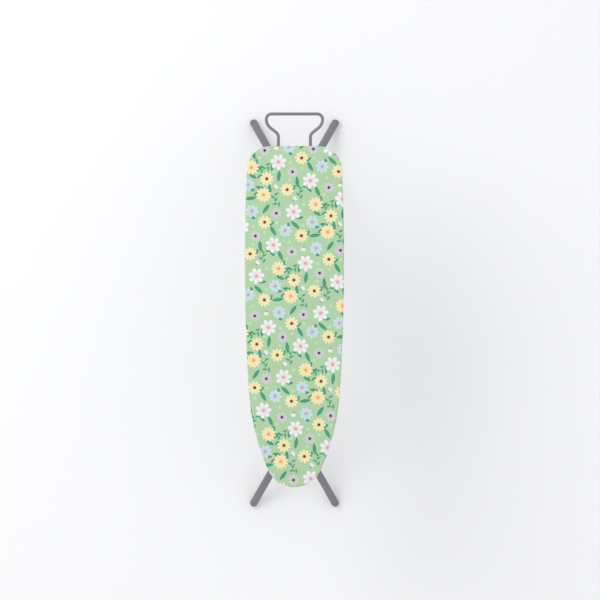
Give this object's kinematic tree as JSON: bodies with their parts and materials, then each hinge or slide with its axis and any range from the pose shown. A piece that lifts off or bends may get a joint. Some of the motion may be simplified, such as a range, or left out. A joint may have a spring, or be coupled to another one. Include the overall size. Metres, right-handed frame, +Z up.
{
  "type": "ironing board",
  "caption": "Ironing board with a padded printed cover, folding scissor legs, a height clamp with a squeeze lever and a push-in wire iron rest.",
  "frame": {"origin": "on the floor under the centre of the standing board", "axes": "+Y along the board towards the iron rest, +X to the right of it, +Z up"},
  "size_m": [0.3198, 1.279, 0.7709],
  "materials": {
    "printed_cotton": "woven cotton with a printed floral pattern on sage green",
    "felt": "needled felt",
    "elastic_cord": "braided elastic",
    "galvanised_mesh": "galvanised expanded metal",
    "grey_coated_steel": "satin powder coat",
    "grey_coated_wire": "satin powder coat",
    "grey_foot_plastic": "fine texture",
    "grey_plastic": "fine texture",
    "white_nylon": "natural nylon",
    "zinc_plated_steel": "bright zinc plate",
    "spring_steel": "oiled spring wire"
  },
  "bodies": {
    "board": {"centre_brace": "zinc_plated_steel", "cotton_cover": "printed_cotton", "felt_pad": "felt", "frame_rivets": "zinc_plated_steel", "front_rod_bracket": "zinc_plated_steel", "guide_brace": "zinc_plated_steel", "guide_screws": "zinc_plated_steel", "hem_elastic": "elastic_cord", "hinge_brace": "zinc_plated_steel", "hinge_pin": "zinc_plated_steel", "left_front_rest_guide": "grey_plastic", "left_hinge_bracket": "zinc_plated_steel", "left_rear_rest_guide": "grey_plastic", "left_slide_rail": "zinc_plated_steel", "lock_rod": "zinc_plated_steel", "middle_brace": "zinc_plated_steel", "rear_brace": "zinc_plated_steel", "rear_rod_bracket": "zinc_plated_steel", "right_front_rest_guide": "grey_plastic", "right_hinge_bracket": "zinc_plated_steel", "right_rear_rest_guide": "grey_plastic", "right_slide_rail": "zinc_plated_steel", "rim_tube": "grey_coated_steel", "steel_mesh_deck": "galvanised_mesh"},
    "outer_leg": {"outer_leg_left": "grey_coated_steel", "outer_leg_right": "grey_coated_steel", "outer_leg_stretcher": "grey_coated_steel", "outer_leg_top_tube": "grey_coated_steel", "rear_foot_left": "grey_foot_plastic", "rear_foot_right": "grey_foot_plastic", "left_hinge_bush": "white_nylon", "right_hinge_bush": "white_nylon", "crossing_bolt": "zinc_plated_steel", "crossing_nut": "zinc_plated_steel", "crossing_washers": "white_nylon"},
    "inner_leg": {"front_foot_left": "grey_foot_plastic", "front_foot_right": "grey_foot_plastic", "inner_leg_left": "grey_coated_steel", "inner_leg_right": "grey_coated_steel", "inner_leg_stretcher": "grey_coated_steel", "inner_leg_top_tube": "grey_coated_steel", "left_slide_roller": "white_nylon", "right_slide_roller": "white_nylon", "left_tube_plug": "grey_plastic", "right_tube_plug": "grey_plastic", "crossing_spacer": "white_nylon"},
    "clamp_yoke": {"clamp_yoke": "zinc_plated_steel", "lever_pin": "zinc_plated_steel", "lever_spring": "spring_steel"},
    "lever": {"lever_plate": "zinc_plated_steel", "lever_bar": "zinc_plated_steel", "lever_grip": "grey_plastic"},
    "iron_rest": {"iron_rest_wire": "grey_coated_wire", "left_stop_collar": "zinc_plated_steel", "right_stop_collar": "zinc_plated_steel"}
  },
  "joints": [
    {"name": "scissor_fold", "type": "hinge", "parent": "board", "child": "outer_leg", "pos_m": [0, -0.328, 0.71675], "axis": [1, 0, 0], "range_deg": [-9, 33.3]},
    {"name": "leg_crossing", "type": "hinge", "parent": "outer_leg", "child": "inner_leg", "pos_m": [0, -0.008, 0.47675], "axis": [1, 0, 0], "range_deg": [-66.6, 18]},
    {"name": "yoke_level", "type": "hinge", "parent": "inner_leg", "child": "clamp_yoke", "pos_m": [0, 0.312, 0.71675], "axis": [1, 0, 0], "range_deg": [-9, 33.3]},
    {"name": "clamp_lever", "type": "hinge", "parent": "clamp_yoke", "child": "lever", "pos_m": [0, 0.3255, 0.72275], "axis": [-1, 0, 0], "range_deg": [0, 8], "stiffness_Nm_per_rad": 0.6, "springref_deg": -17.19},
    {"name": "iron_rest_slide", "type": "slide", "parent": "board", "child": "iron_rest", "axis": [0, -1, 0], "range_m": [0, 0.07]}
  ],
  "couplings": [
    {"joint": "leg_crossing", "follows": "scissor_fold", "ratio": -2},
    {"joint": "yoke_level", "follows": "scissor_fold", "ratio": 1}
  ]
}
